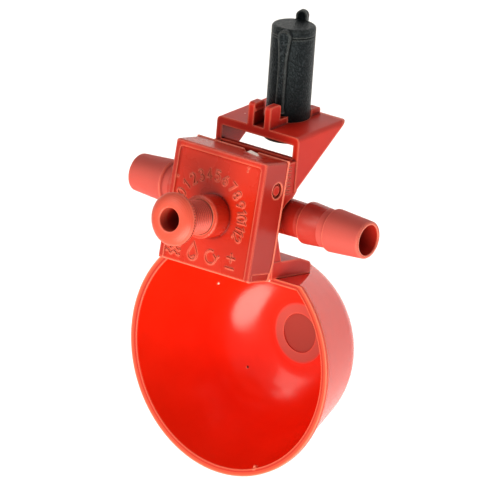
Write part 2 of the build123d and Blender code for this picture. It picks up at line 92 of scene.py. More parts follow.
# Each panel: outline, place, width and depth in metres, watts
panels = {
    "frontPanel": ("ELLIPSE", (0.9, -1.9, 2.13), (3.6, 2.1), 150.0),
    "leftPanel": ("RECTANGLE", (-1.5, 0.5, 2.5), (1.7, 1.1), 17.0),
    "backPanel": ("RECTANGLE", (-1.6, 1.7, 2.0), (1.3, 1.2), 12.0),
}


def newMaterial(name):
    mat = bpy.data.materials.new(name)
    mat.use_nodes = True
    return mat, mat.node_tree.nodes["Principled BSDF"]


def buildSky(s):
    world = bpy.data.worlds.new("studioSky")
    world.use_nodes = True
    sky = world.node_tree.nodes["Background"]
    sky.inputs["Color"].default_value = s["skyColor"]
    height = world.node_tree.nodes.new("ShaderNodeSeparateXYZ")
    rise = world.node_tree.nodes.new("ShaderNodeMapRange")  # darker towards the horizon, as in a tent
    ends = {"From Min": 0.0, "From Max": s["skyTop"], "To Min": s["skyLow"], "To Max": s["skyHigh"]}
    for label, number in ends.items():
        rise.inputs[label].default_value = number
    around = world.node_tree.nodes.new("ShaderNodeTexCoord")
    world.node_tree.links.new(around.outputs["Generated"], height.inputs[0])
    world.node_tree.links.new(height.outputs["Z"], rise.inputs["Value"])
    world.node_tree.links.new(rise.outputs["Result"], sky.inputs["Strength"])
    bpy.context.scene.world = world


def layFloor(s):
    half = s["floorSize"] / 2
    mesh = bpy.data.meshes.new("paleFloor")
    corners = [(x * half, y * half, s["floorDrop"]) for x, y in ((-1, -1), (1, -1), (1, 1), (-1, 1))]
    mesh.from_pydata(corners, [], [(0, 1, 2, 3)])
    floor = bpy.data.objects.new("paleFloor", mesh)
    bpy.context.scene.collection.objects.link(floor)
    mat, shader = newMaterial("floorPaper")
    shader.inputs["Base Color"].default_value = s["floorColor"]
    shader.inputs["Roughness"].default_value = s["floorRough"]
    mesh.materials.append(mat)


def hangPanels(s):
    for name, (outline, place, size, watts) in panels.items():
        data = bpy.data.lights.new(name, "AREA")
        data.shape = outline
        data.size, data.size_y = size
        data.energy = watts
        data.color = s["lampColor"]
        lamp = bpy.data.objects.new(name, data)
        lamp.location = place
        lamp.rotation_euler = (Vector(s["lookAt"]) - Vector(place)).to_track_quat("-Z", "Y").to_euler()
        bpy.context.scene.collection.objects.link(lamp)


buildSky(studio)
layFloor(studio)
hangPanels(studio)
bpy.context.scene.view_settings.view_transform = "Standard"
bpy.context.scene.view_settings.gamma = studio["contrast"]

print("shared effects")


def newGroup(name, inputs, outputs):
    tree = bpy.data.node_groups.new(name, "ShaderNodeTree")
    for label, kind, value in inputs:
        socket = tree.interface.new_socket(label, in_out="INPUT", socket_type=kind)
        socket.default_value = value
    for label, kind in outputs:
        tree.interface.new_socket(label, in_out="OUTPUT", socket_type=kind)
    return tree, tree.nodes.new("NodeGroupInput").outputs, tree.nodes.new("NodeGroupOutput").inputs


def setSocket(tree, socket, value):
    if isinstance(value, bpy.types.NodeSocket):
        tree.links.new(value, socket)
    else:
        socket.default_value = value


def mathNode(tree, operation, first, second=0.0, clamp=False):
    node = tree.nodes.new("ShaderNodeMath")
    node.operation = operation
    node.use_clamp = clamp
    setSocket(tree, node.inputs[0], first)
    setSocket(tree, node.inputs[1], second)
    return node.outputs[0]


def noiseNode(tree, coordinates, scale, detail=2.0):
    node = tree.nodes.new("ShaderNodeTexNoise")
    node.inputs["Detail"].default_value = detail
    setSocket(tree, node.inputs["Vector"], coordinates)
    setSocket(tree, node.inputs["Scale"], scale)
    return node.outputs["Fac"]


def rampNode(tree, value, low, high, outLow=0.0, outHigh=1.0):
    node = tree.nodes.new("ShaderNodeMapRange")
    for label, number in (("From Min", low), ("From Max", high), ("To Min", outLow), ("To Max", outHigh)):
        setSocket(tree, node.inputs[label], number)
    setSocket(tree, node.inputs["Value"], value)
    return node.outputs["Result"]


def mixColor(tree, factor, first, second):
    node = tree.nodes.new("ShaderNodeMix")
    node.data_type = "RGBA"
    for index, value in ((0, factor), (6, first), (7, second)):
        setSocket(tree, node.inputs[index], value)
    return node.outputs[2]


maskSamples = 6  # rays for each painted edge highlight, painted shade in hollows and rounded edge


def objectPlace(tree):
    return tree.nodes.new("ShaderNodeTexCoord").outputs["Object"]


def splitPlace(tree, place):
    node = tree.nodes.new("ShaderNodeSeparateXYZ")
    setSocket(tree, node.inputs[0], place)
    return node.outputs


def turnedPlace(tree, **settings):
    node = tree.nodes.new("ShaderNodeMapping")
    node.vector_type = "TEXTURE"
    setSocket(tree, node.inputs["Vector"], objectPlace(tree))
    for label, value in settings.items():
        setSocket(tree, node.inputs[label], value)
    return node.outputs["Vector"]


def distanceNode(tree, first, second):
    node = tree.nodes.new("ShaderNodeVectorMath")
    node.operation = "DISTANCE"
    setSocket(tree, node.inputs[0], first)
    setSocket(tree, node.inputs[1], second)
    return node.outputs["Value"]


def occlusionNode(tree, reach, inside=False):
    node = tree.nodes.new("ShaderNodeAmbientOcclusion")
    node.samples = maskSamples
    node.inside = inside
    setSocket(tree, node.inputs["Distance"], reach)
    return node.outputs["AO"]


# What stays the same wherever the effects are used
skinMarks = {"cloudDetail": 3.0, "cloudEnds": (0.35, 0.65), "rippleRelief": 0.3,
             "speckRadius": 0.12, "speckRelief": 0.8}
grainMarks = {"detail": 3.0, "strokeEnds": (0.3, 0.7), "patchEnds": (0.5, 0.75)}


def mouldedSkin():
    # Cloudy flow marks, rare pale dust specks and a fine ripple, as on injection-moulded plastic
    tree, source, sink = newGroup(
        "mouldedSkin",
        [("Cloud Scale", "NodeSocketFloat", 110.0), ("Ripple Scale", "NodeSocketFloat", 900.0),
         ("Speck Scale", "NodeSocketFloat", 480.0), ("Speck Share", "NodeSocketFloat", 0.01)],
        [("Cloud", "NodeSocketFloat"), ("Specks", "NodeSocketFloat"), ("Height", "NodeSocketFloat")])
    place = objectPlace(tree)
    cloud = noiseNode(tree, place, source["Cloud Scale"], skinMarks["cloudDetail"])
    ripple = noiseNode(tree, place, source["Ripple Scale"])
    cells = tree.nodes.new("ShaderNodeTexVoronoi")
    setSocket(tree, cells.inputs["Vector"], place)
    setSocket(tree, cells.inputs["Scale"], source["Speck Scale"])
    near = mathNode(tree, "LESS_THAN", cells.outputs["Distance"], skinMarks["speckRadius"])
    pick = tree.nodes.new("ShaderNodeSeparateColor")
    setSocket(tree, pick.inputs["Color"], cells.outputs["Color"])
    chosen = mathNode(tree, "LESS_THAN", pick.outputs[0], source["Speck Share"])
    specks = mathNode(tree, "MULTIPLY", near, chosen)
    raised = mathNode(tree, "MULTIPLY", specks, skinMarks["speckRelief"])
    waves = mathNode(tree, "MULTIPLY", ripple, skinMarks["rippleRelief"])
    setSocket(tree, sink["Cloud"], rampNode(tree, cloud, *skinMarks["cloudEnds"]))
    setSocket(tree, sink["Specks"], specks)
    setSocket(tree, sink["Height"], mathNode(tree, "ADD", waves, raised))
    return tree


def ringMask():
    # 1 between two distances from a point, with soft edges
    tree, source, sink = newGroup(
        "ringMask",
        [("Place", "NodeSocketVector", (0, 0, 0)), ("Centre", "NodeSocketVector", (0, 0, 0)),
         ("Inner", "NodeSocketFloat", -1.0), ("Outer", "NodeSocketFloat", 1.0),
         ("Softness", "NodeSocketFloat", 0.1)],
        [("Mask", "NodeSocketFloat")])
    apart = distanceNode(tree, source["Place"], source["Centre"])
    past = mathNode(tree, "SUBTRACT", apart, source["Inner"])
    short = mathNode(tree, "SUBTRACT", source["Outer"], apart)
    rise = mathNode(tree, "DIVIDE", past, source["Softness"], clamp=True)
    fall = mathNode(tree, "DIVIDE", short, source["Softness"], clamp=True)
    setSocket(tree, sink["Mask"], mathNode(tree, "MULTIPLY", rise, fall))
    return tree


def castGrain():
    # Short slanting strokes and pits of a rough casting
    tree, source, sink = newGroup(
        "castGrain",
        [("Scale", "NodeSocketFloat", 2700.0), ("Slant", "NodeSocketVector", (0, 0, 0.75)),
         ("Stretch", "NodeSocketVector", (1, 2.4, 1))],
        [("Height", "NodeSocketFloat"), ("Patches", "NodeSocketFloat")])
    place = turnedPlace(tree, Rotation=source["Slant"], Scale=source["Stretch"])
    strokes = noiseNode(tree, place, source["Scale"], grainMarks["detail"])
    setSocket(tree, sink["Height"], rampNode(tree, strokes, *grainMarks["strokeEnds"]))
    setSocket(tree, sink["Patches"], rampNode(tree, strokes, *grainMarks["patchEnds"]))
    return tree


def cavityMask():
    # 1 on open surfaces, falling towards 0 in holes and tight corners
    tree, source, sink = newGroup(
        "cavityMask",
        [("Reach", "NodeSocketFloat", 0.006), ("Dark End", "NodeSocketFloat", 0.1),
         ("Light End", "NodeSocketFloat", 0.6)],
        [("Open", "NodeSocketFloat")])
    light = occlusionNode(tree, source["Reach"])
    setSocket(tree, sink["Open"], rampNode(tree, light, source["Dark End"], source["Light End"]))
    return tree


def edgeMask():
    # 1 along outward edges, where the colour is painted paler as a painted highlight
    tree, source, sink = newGroup(
        "edgeMask",
        [("Reach", "NodeSocketFloat", 0.0006), ("Edge End", "NodeSocketFloat", 0.66),
         ("Flat End", "NodeSocketFloat", 0.93)],
        [("Edge", "NodeSocketFloat")])
    light = occlusionNode(tree, source["Reach"], inside=True)
    setSocket(tree, sink["Edge"], rampNode(tree, light, source["Flat End"], source["Edge End"]))
    return tree


groups = {"skin": mouldedSkin(), "ring": ringMask(), "grain": castGrain(), "cavity": cavityMask(),
          "edges": edgeMask()}


def useGroup(tree, name, **values):
    node = tree.nodes.new("ShaderNodeGroup")
    node.node_tree = groups[name]
    for label, value in values.items():
        setSocket(tree, node.inputs[label], value)
    return node.outputs


def softEdges(tree, shader, height, bump, bumpDepth, radius):
    # Rounds the moulded edges a little further and adds the fine relief
    edge = tree.nodes.new("ShaderNodeBevel")
    edge.samples = maskSamples
    edge.inputs["Radius"].default_value = radius
    node = tree.nodes.new("ShaderNodeBump")
    node.inputs["Strength"].default_value = bump
    node.inputs["Distance"].default_value = bumpDepth
    setSocket(tree, node.inputs["Height"], height)
    setSocket(tree, node.inputs["Normal"], edge.outputs["Normal"])
    setSocket(tree, shader.inputs["Normal"], node.outputs["Normal"])


print("materials")

# Each red: body colours, painted edge highlight, colour of the painted shade in its hollows and how far it
# reaches, gloss and fine relief
reds = {
    "red_housing": {
        "deep": (0.54, 0.027, 0.008, 1), "pale": (0.58, 0.034, 0.011, 1),
        "edgeHighlightColor": (0.9, 0.26, 0.17, 1), "edgeHighlightShare": 0.95, "edge": 0.28 * mm,
        "hollow": (0.16, 0.003, 0.002, 1), "cavity": 6 * mm,
        "rough": 0.27, "gloss": 0.42, "bump": 0.3, "specks": 0.012, "translucent": 0.06,
    },
    # The screw head's paler, pinker red is painted sheen
    "red_screw": {
        "deep": (0.64, 0.095, 0.055, 1), "pale": (0.68, 0.11, 0.065, 1),
        "edgeHighlightColor": (0.92, 0.3, 0.22, 1), "edgeHighlightShare": 0.4, "edge": 0.15 * mm,
        "hollow": (0.12, 0.001, 0.001, 1), "cavity": 7 * mm,
        "rough": 0.34, "gloss": 0.4, "bump": 0.3, "specks": 0.01, "translucent": 0.03,
        "shankColor": (0.7, 0.035, 0.016, 1), "shankTop": 30.4 * mm, "shankBlend": 0.2 * mm,
    },
    "red_rocker": {
        "deep": (0.6, 0.022, 0.009, 1), "pale": (0.64, 0.028, 0.011, 1),
        "edgeHighlightColor": (0.8, 0.16, 0.1, 1), "edgeHighlightShare": 0.85, "edge": 0.3 * mm,
        "hollow": (0.1, 0.002, 0.001, 1), "cavity": 22 * mm,
        "rough": 0.38, "gloss": 0.34, "bump": 0.3, "specks": 0.01, "translucent": 0.05,
    },
    "red_bowl": {
        "deep": (0.76, 0.023, 0.004, 1), "pale": (0.8, 0.026, 0.005, 1),
        "edgeHighlightColor": (0.9, 0.24, 0.14, 1), "edgeHighlightShare": 0.85, "edge": 0.25 * mm,
        "hollow": (0.3, 0.004, 0.001, 1), "cavity": 4 * mm,
        "rough": 0.2, "gloss": 0.5, "bump": 1.0, "specks": 0.004, "translucent": 0.08,
    },
}
# The raised marks are of the housing's plastic, with less painted edge highlight and smoother
reds["red_marks"] = dict(reds["red_housing"], edgeHighlightShare=0.35, bump=0.1)

# What all the reds share: dust specks, range of gloss, relief, painted shade in narrow creases and light
# inside the plastic
plastic = {
    "speckColor": (0.85, 0.35, 0.3, 1), "smoother": 0.02, "rougher": 0.03, "relief": 0.05 * mm,
    "creaseReach": 1.0 * mm, "creaseDark": 0.35, "creaseLight": 0.9,
    "scatter": (1.0, 0.12, 0.06), "scatterDepth": 1.2 * mm, "ior": 1.5,
}


def creaseMask(tree, look):
    return useGroup(tree, "cavity", **{"Reach": look["creaseReach"], "Dark End": look["creaseDark"],
                                       "Light End": look["creaseLight"]})["Open"]


def shankFinish(tree, body, look):
    # The screw's shank is a deeper red than its head, whose paler, pinker colour is painted sheen
    height = splitPlace(tree, objectPlace(tree))["Z"]
    onHead = rampNode(tree, height, look["shankTop"], look["shankTop"] + look["shankBlend"])
    return mixColor(tree, onHead, look["shankColor"], body)


def redPlastic(name, look):
    mat, shader = newMaterial(name)
    tree = mat.node_tree
    skin = useGroup(tree, "skin", **{"Speck Share": look["specks"]})
    body = mixColor(tree, skin["Cloud"], look["deep"], look["pale"])
    body = mixColor(tree, skin["Specks"], body, plastic["speckColor"])
    smoothest, roughest = look["rough"] - plastic["smoother"], look["rough"] + plastic["rougher"]
    rough = rampNode(tree, skin["Cloud"], 0, 1, smoothest, roughest)
    height, sharp = skin["Height"], 1.0
    if name == "red_bowl":
        body, rough, height, sharp = frostedBottom(tree, body, rough, height)
    if name == "red_screw":
        body = shankFinish(tree, body, look)
    if name in ("red_housing", "red_marks"):
        body, rough = tailFinish(tree, body, rough, skin["Cloud"])
    # Painted shade: the body colour darkens towards the hollow shade colour in holes, tight corners and
    # narrow creases
    hollow = useGroup(tree, "cavity", Reach=look["cavity"])["Open"]
    crease = creaseMask(tree, plastic)
    body = mixColor(tree, mathNode(tree, "MULTIPLY", hollow, crease), look["hollow"], body)
    # Painted highlight: a paler colour along outward edges
    edgeHighlight = mathNode(tree, "MULTIPLY", useGroup(tree, "edges")["Edge"], look["edgeHighlightShare"])
    edgeHighlight = mathNode(tree, "MULTIPLY", edgeHighlight, sharp)
    setSocket(tree, shader.inputs["Base Color"], mixColor(tree, edgeHighlight, body, look["edgeHighlightColor"]))
    setSocket(tree, shader.inputs["Roughness"], rough)
    softEdges(tree, shader, height, look["bump"], plastic["relief"], look["edge"])
    shader.inputs["IOR"].default_value = plastic["ior"]
    shader.inputs["Specular IOR Level"].default_value = look["gloss"]
    shader.inputs["Subsurface Weight"].default_value = look["translucent"]
    shader.inputs["Subsurface Radius"].default_value = plastic["scatter"]
    shader.inputs["Subsurface Scale"].default_value = plastic["scatterDepth"]
    return mat


# The hose tails: a smoother stem and inner barb painted darker as painted shade, pale streaks of painted
# sheen on the inner barb, and an outer barb scuffed rougher by hoses and painted paler as painted sheen
tails = {"polishedFrom": 12.2 * mm, "innerBarb": 15.4 * mm, "scuffedFrom": 22.75 * mm, "blend": 0.15 * mm,
         "boreRadius": 4.3 * mm, "polishedAndShaded": (0.47, 0.03, 0.018, 1), "polishedRough": 0.24,
         "scuffedWithSheen": (0.55, 0.095, 0.075, 1), "scuffedRough": 0.6, "sheenStreaks": 0.6}


def tailFinish(tree, body, rough, cloud):
    place = splitPlace(tree, objectPlace(tree))
    out = mathNode(tree, "ABSOLUTE", place["X"])
    polishedAndShaded = rampNode(tree, out, tails["polishedFrom"], tails["polishedFrom"] + tails["blend"])
    scuffedWithSheen = rampNode(tree, out, tails["scuffedFrom"], tails["scuffedFrom"] + tails["blend"])
    squares = [mathNode(tree, "MULTIPLY", place[axis], place[axis]) for axis in ("Y", "Z")]
    radius = mathNode(tree, "SQRT", mathNode(tree, "ADD", *squares))
    outside = mathNode(tree, "GREATER_THAN", radius, tails["boreRadius"])
    scuffedWithSheen = mathNode(tree, "MULTIPLY", scuffedWithSheen, outside)
    barb = tails["innerBarb"]
    onBarb = rampNode(tree, out, barb, barb + tails["blend"], 0.0, tails["sheenStreaks"])
    sheenStreaks = mathNode(tree, "MULTIPLY", mathNode(tree, "MULTIPLY", onBarb, outside), cloud)
    # Painted shade on the stem and inner barb, painted sheen streaks on the inner barb and painted sheen on
    # the outer barb
    body = mixColor(tree, polishedAndShaded, body, tails["polishedAndShaded"])
    body = mixColor(tree, sheenStreaks, body, tails["scuffedWithSheen"])
    body = mixColor(tree, scuffedWithSheen, body, tails["scuffedWithSheen"])
    rough = rampNode(tree, polishedAndShaded, 0, 1, rough, tails["polishedRough"])
    return body, rampNode(tree, scuffedWithSheen, 0, 1, rough, tails["scuffedRough"])


# Bowl bottom and rim, in the rocker's own frame: a rougher disc coloured as a painted reflection, a rougher
# halo coloured as painted sheen, a stepped ring in relief, and a rougher rim top painted lighter as painted
# light, with painted shade elsewhere above the rim level
bottom = {
    "centre": (0, -45.8 * mm, -32.9 * mm),
    "disc": 4.9 * mm, "discBlend": 0.3 * mm, "discReflectionColor": (0.34, 0.055, 0.04, 1), "rough": 0.42, "discEdge": 0.25,
    "haloInner": 4.3 * mm, "halo": 7.8 * mm, "haloBlend": 0.8 * mm, "haloSheenColor": (0.44, 0.1, 0.08, 1),
    "haloSheenShare": 0.85,
    "ringInner": 5.0 * mm, "ringOuter": 8.4 * mm, "dish": 6.0, "ripple": 0.12,
    "rimCentre": (0, -45.8 * mm, -4.4 * mm), "rimLevel": -4.6 * mm, "rimBlend": 0.1 * mm,
    "rimInner": 28.9 * mm, "rimOuter": 40 * mm, "lipBlend": 0.2 * mm,
    "rimLightColor": (0.62, 0.085, 0.04, 1), "lipShadeColor": (0.5, 0.02, 0.008, 1), "rimRough": 0.45,
}


def frostedBottom(tree, body, rough, height):
    place = turnedPlace(tree, Location=rockerPlace.translation, Rotation=rockerPlace.to_euler())
    disc = useGroup(tree, "ring", Place=place, Centre=bottom["centre"], Inner=-mm,  # full to its centre
                    Outer=bottom["disc"], Softness=bottom["discBlend"])["Mask"]
    halo = useGroup(tree, "ring", Place=place, Centre=bottom["centre"], Inner=bottom["haloInner"],
                    Outer=bottom["halo"], Softness=bottom["haloBlend"])["Mask"]
    away = distanceNode(tree, place, bottom["centre"])
    dish = rampNode(tree, away, bottom["ringInner"], bottom["ringOuter"], 0.0, bottom["dish"])
    height = mathNode(tree, "ADD", mathNode(tree, "MULTIPLY", height, bottom["ripple"]), dish)
    level = splitPlace(tree, place)["Z"]
    rim = rampNode(tree, level, bottom["rimLevel"], bottom["rimLevel"] + bottom["rimBlend"])
    flat = useGroup(tree, "ring", Place=place, Centre=bottom["rimCentre"], Inner=bottom["rimInner"],
                    Outer=bottom["rimOuter"], Softness=bottom["lipBlend"])["Mask"]
    # Painted sheen on the halo and a painted reflection on the disc
    haloSheen = mathNode(tree, "MULTIPLY", halo, bottom["haloSheenShare"])
    frost = mathNode(tree, "ADD", disc, haloSheen, clamp=True)
    # Painted light on the rim's flat top, painted shade elsewhere above the rim level
    top = mixColor(tree, flat, bottom["lipShadeColor"], bottom["rimLightColor"])
    inside = mixColor(tree, disc, mixColor(tree, haloSheen, body, bottom["haloSheenColor"]), bottom["discReflectionColor"])
    body = mixColor(tree, rim, inside, top)
    rough = rampNode(tree, frost, 0, 1, rough, bottom["rough"])
    sharp = rampNode(tree, away, bottom["halo"], bottom["ringOuter"], bottom["discEdge"], 1.0)
    return body, rampNode(tree, rim, 0, 1, rough, bottom["rimRough"]), height, sharp


# The weight: near-black cast metal, grey where the grain stands up, with painted shade darkest where its
# ribs meet the block and a painted highlight paler along its edges
weightLook = {
    "deep": (0.001, 0.0012, 0.0015, 1), "pale": (0.04, 0.046, 0.052, 1), "edgeHighlightColor": (0.15, 0.155, 0.15, 1),
    "creaseShadeColor": (0.001, 0.001, 0.001, 1), "creaseReach": 9.0 * mm, "creaseDark": 0.4, "creaseLight": 1.0,
    "rough": 0.34, "gloss": 0.3, "tint": (0.75, 0.92, 1.0, 1),
    "bump": 1.0, "bumpDepth": 0.13 * mm, "edge": 0.25 * mm,
}


def blackCasting(look):
    mat, shader = newMaterial("black_weight")
    tree = mat.node_tree
    grain = useGroup(tree, "grain")
    crease = creaseMask(tree, look)
    body = mixColor(tree, grain["Patches"], look["deep"], look["pale"])
    # Painted shade: near-black in corners and where the ribs meet the block
    body = mixColor(tree, crease, look["creaseShadeColor"], body)
    # Painted highlight: paler grey along outward edges
    edge = useGroup(tree, "edges")["Edge"]
    setSocket(tree, shader.inputs["Base Color"], mixColor(tree, edge, body, look["edgeHighlightColor"]))
    shader.inputs["Roughness"].default_value = look["rough"]
    shader.inputs["Specular IOR Level"].default_value = look["gloss"]
    shader.inputs["Specular Tint"].default_value = look["tint"]
    softEdges(tree, shader, grain["Height"], look["bump"], look["bumpDepth"], look["edge"])
    return mat


def plainMaterial(name, color, rough, metal):
    mat, shader = newMaterial(name)
    shader.inputs["Base Color"].default_value = color
    shader.inputs["Roughness"].default_value = rough
    shader.inputs["Metallic"].default_value = metal
    return mat


# Plain finishes: colour, roughness and how metallic
plainLooks = {
    "white_stem": ((0.8, 0.8, 0.77, 1), 0.4, 0.0),
    "seal_rubber": ((0.02, 0.02, 0.02, 1), 0.7, 0.0),
    "spring_steel": ((0.6, 0.6, 0.6, 1), 0.3, 1.0),
    "steel_seat": ((0.55, 0.55, 0.55, 1), 0.35, 1.0),
    "burnt_speck": ((0.12, 0.004, 0.003, 1), 0.4, 0.0),
    # painted highlight: the white of the glint sliver in the notch
    "bright_flash": ((0.95, 0.8, 0.75, 1), 0.3, 0.0),
    "pale_flash": ((0.9, 0.55, 0.48, 1), 0.35, 0.0),
}

materials = {name: redPlastic(name, look) for name, look in reds.items()}
materials["black_weight"] = blackCasting(weightLook)
for name, look in plainLooks.items():
    materials[name] = plainMaterial(name, *look)

print("finishes on the solids")
slotOf = {entry["node"]: entry["material_slot"] for entry in frame["record"]["subparts"]}
for node, obj in frame["nodes"].items():
    for slot in obj.material_slots:
        slot.material = materials[slotOf[node]]


def addPiece(name, points, faces, body, material, slotName, place=None, smooth=True):
    # Points are in millimetres, in the row frame or in the frame that place gives
    mesh = bpy.data.meshes.new(name)
    mesh.from_pydata([tuple(Vector(point) * mm) for point in points], [], faces)
    mesh.validate()
    build = bmesh.new()
    build.from_mesh(mesh)
    bmesh.ops.recalc_face_normals(build, faces=build.faces)
    build.to_mesh(mesh)
    build.free()
    if place is not None:
        mesh.transform(place)
    for polygon in mesh.polygons:
        polygon.use_smooth = smooth
    mesh.materials.append(materials[material])
    obj = bpy.data.objects.new(name, mesh)
    bpy.context.scene.collection.objects.link(obj)
    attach(obj, body)
    return obj


print("adjusting screw")

# Millimetres and degrees. The turned outline repeats the solid's, and the crests of the two-start thread
# lie on the solid's shank
screw = {
    "axisY": -1.5, "innerEnd": 17.0, "shankRadius": 4.23, "boreRadius": 2.84,
    "pocketTop": 22.54, "boreFloor": 23.94,
    "rimLow": 30.6, "rimTop": 32.0, "top": 33.5, "neckRadius": 5.0, "flangeRadius": 6.5, "rimChamfer": 0.3,
    "rimRounding": 0.35, "rimShoulder": 0.15, "rimSweep": 50, "rimSteps": 4,
    "crownShare": 0.9, "crownSteps": 36,
    "mouthFlat": 0.5, "mouthRounding": 0.3, "mouthSteps": 6, "tipChamfer": 0.4, "innermost": 0.01,
    "lead": 1.5, "starts": 2, "threadDepth": 0.36, "threadRun": 1.2, "threadStart": 0.3,
    "shankSegments": 144, "rowsPerPitch": 8,
    "knurls": 60, "knurlDepth": 0.42, "turningMarks": 0.018, "marksPitch": 0.42, "segmentsPerKnurl": 6,
}


def revolveRows(rows, segments, radiusAt, axisY):
    # Rows of (radius, z); radiusAt may change the radius round the axis
    points = []
    for index, (radius, z) in enumerate(rows):
        for step in range(segments):
            angle = 2 * math.pi * step / segments
            r = radiusAt(index, radius, z, angle, step)
            points.append((r * math.cos(angle), axisY + r * math.sin(angle), z))
    faces = []
    for row in range(len(rows) - 1):
        for step in range(segments):
            ahead = (step + 1) % segments
            low, high = row * segments, (row + 1) * segments
            faces.append((low + step, low + ahead, high + ahead, high + step))
    return points, faces


def arcRows(centreR, centreZ, radius, first, last, count):
    rows = []
    for step in range(count + 1):
        angle = math.radians(first + (last - first) * step / count)
        rows.append((centreR + radius * math.cos(angle), centreZ + radius * math.sin(angle)))
    return rows


def screwHead(s):
    # Underside, knurled rim, crown, mouth and bore, down to the bore's floor
    run = s["flangeRadius"] - s["boreRadius"] - s["mouthFlat"]
    drop = s["top"] - s["rimTop"]
    crown = (run * run + drop * drop) / (2 * drop)
    steepest = math.degrees(math.asin(run / crown))
    mouthR = s["boreRadius"] + s["mouthFlat"]
    rim = s["flangeRadius"]
    rows = [(s["shankRadius"] - s["threadDepth"], s["rimLow"]), (s["neckRadius"], s["rimLow"]),
            (rim - s["rimChamfer"], s["rimLow"] + s["rimChamfer"]),
            (rim, s["rimLow"] + 2 * s["rimChamfer"])]
    knurled = range(len(rows) - 2, len(rows) + 1)
    shoulder = s["rimTop"] - s["rimShoulder"]
    rows.append((rim, shoulder))
    rows += arcRows(rim - s["rimRounding"], shoulder, s["rimRounding"], 0, s["rimSweep"], s["rimSteps"])[1:]
    lowest = 90 - steepest * s["crownShare"]
    crownRows = arcRows(mouthR, s["top"] - crown, crown, lowest, 90, s["crownSteps"])
    rows += [(r, z + s["turningMarks"] * math.sin(2 * math.pi * r / s["marksPitch"])) for r, z in crownRows]
    mouth = s["mouthRounding"]
    rows += arcRows(s["boreRadius"] + mouth, s["top"] - mouth, mouth, 90, 180, s["mouthSteps"])
    rows += [(s["boreRadius"], s["boreFloor"]), (s["innermost"], s["boreFloor"])]
    segments = s["knurls"] * s["segmentsPerKnurl"]

    def radiusAt(index, radius, z, angle, step):
        if index not in knurled:
            return radius
        phase = (step % s["segmentsPerKnurl"]) / s["segmentsPerKnurl"]
        return radius - s["knurlDepth"] * max(0.0, math.cos(2 * math.pi * phase)) ** 2

    return revolveRows(rows, segments, radiusAt, s["axisY"])


def screwShank(s):
    # Threaded outside up to the flange, then the pocket for the spring seat
    pitch = s["lead"] / s["starts"]
    count = int((s["rimLow"] - s["innerEnd"] - s["tipChamfer"]) / pitch * s["rowsPerPitch"])
    first = s["innerEnd"] + s["tipChamfer"]
    rows = [(s["innermost"], s["pocketTop"]), (s["boreRadius"], s["pocketTop"]),
            (s["boreRadius"], s["innerEnd"]), (s["shankRadius"] - s["tipChamfer"], s["innerEnd"])]
    threaded = len(rows)
    rows += [(s["shankRadius"], first + (s["rimLow"] - first) * step / count) for step in range(count + 1)]

    def radiusAt(index, radius, z, angle, step):
        if index < threaded:
            return radius
        turns = (z - s["innerEnd"]) / pitch - s["starts"] * angle / (2 * math.pi)
        depth = 0.5 + 0.5 * math.cos(2 * math.pi * turns)
        fade = min(1.0, (s["rimLow"] - z) / s["threadRun"], (z - first) / s["threadRun"] + s["threadStart"])
        return radius - s["threadDepth"] * depth * max(0.0, fade)

    return revolveRows(rows, s["shankSegments"], radiusAt, s["axisY"])


head, headFaces = screwHead(screw)
shank, shankFaces = screwShank(screw)
shankFaces = [tuple(index + len(head) for index in face) for face in shankFaces]
screwPiece = addPiece("adjustingScrew", head + shank, headFaces + shankFaces, "screw",
                      "red_screw", "red_screw")
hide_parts("adjusting_screw")

print("raised marks on the face")

# Marks are beads that stand on the face's panel, drawn as strokes on a grid one letter high
face = {"panelTop": 16.05, "sunk": 0.1, "relief": 0.28, "stroke": 0.5, "topShare": 0.55,
        "letterMiddle": 0.5, "nibRelief": 0.18, "nibTop": 0.6, "nibSides": 12}
dial = {"centre": (-1.0, -1.5), "radius": 9.75, "height": 2.5, "numbers": 13,
        "firstAngle": 160, "lastAngle": -18, "digitPitch": 1.45}
symbols = {"row": -11.3, "height": 4.3, "places": {"waves": -10.0, "drop": -4.1, "turn": 1.4, "signs": 7.4}}
nibs = [((-12.0, 5.5), 0.35), ((8.35, 12.3), 0.3), ((8.2, 11.4), 0.22)]


def curve(x, y, rx, ry, first, last, count=10):
    return [(x + rx * math.cos(math.radians(first + (last - first) * i / count)),
             y + ry * math.sin(math.radians(first + (last - first) * i / count))) for i in range(count + 1)]


digits = {
    "0": [curve(0, 0.5, 0.26, 0.5, 90, 450, 18)],
    "1": [[(-0.18, 0.78), (0.06, 1.0), (0.06, 0.0)]],
    "2": [curve(0, 0.72, 0.26, 0.28, 170, -30, 8) + [(-0.26, 0.0), (0.28, 0.0)]],
    "3": [curve(-0.02, 0.76, 0.25, 0.24, 140, -80, 8) + curve(-0.02, 0.27, 0.28, 0.27, 80, -140, 8)],
    "4": [[(0.12, 0.0), (0.12, 1.0), (-0.28, 0.3), (0.3, 0.3)]],
    "5": [[(0.24, 1.0), (-0.2, 1.0), (-0.24, 0.56)] + curve(-0.02, 0.32, 0.28, 0.32, 110, -140, 10)],
    "6": [[(0.16, 1.0), (-0.2, 0.5)] + curve(0, 0.3, 0.26, 0.3, 160, 500, 14)],
    "7": [[(-0.26, 1.0), (0.26, 1.0), (-0.06, 0.0)]],
    "8": [curve(0, 0.75, 0.22, 0.24, -90, 270, 14) + curve(0, 0.26, 0.26, 0.26, 90, -270, 14)],
    "9": [curve(0, 0.7, 0.26, 0.3, -20, 320, 14) + [(-0.14, 0.0)]],
}
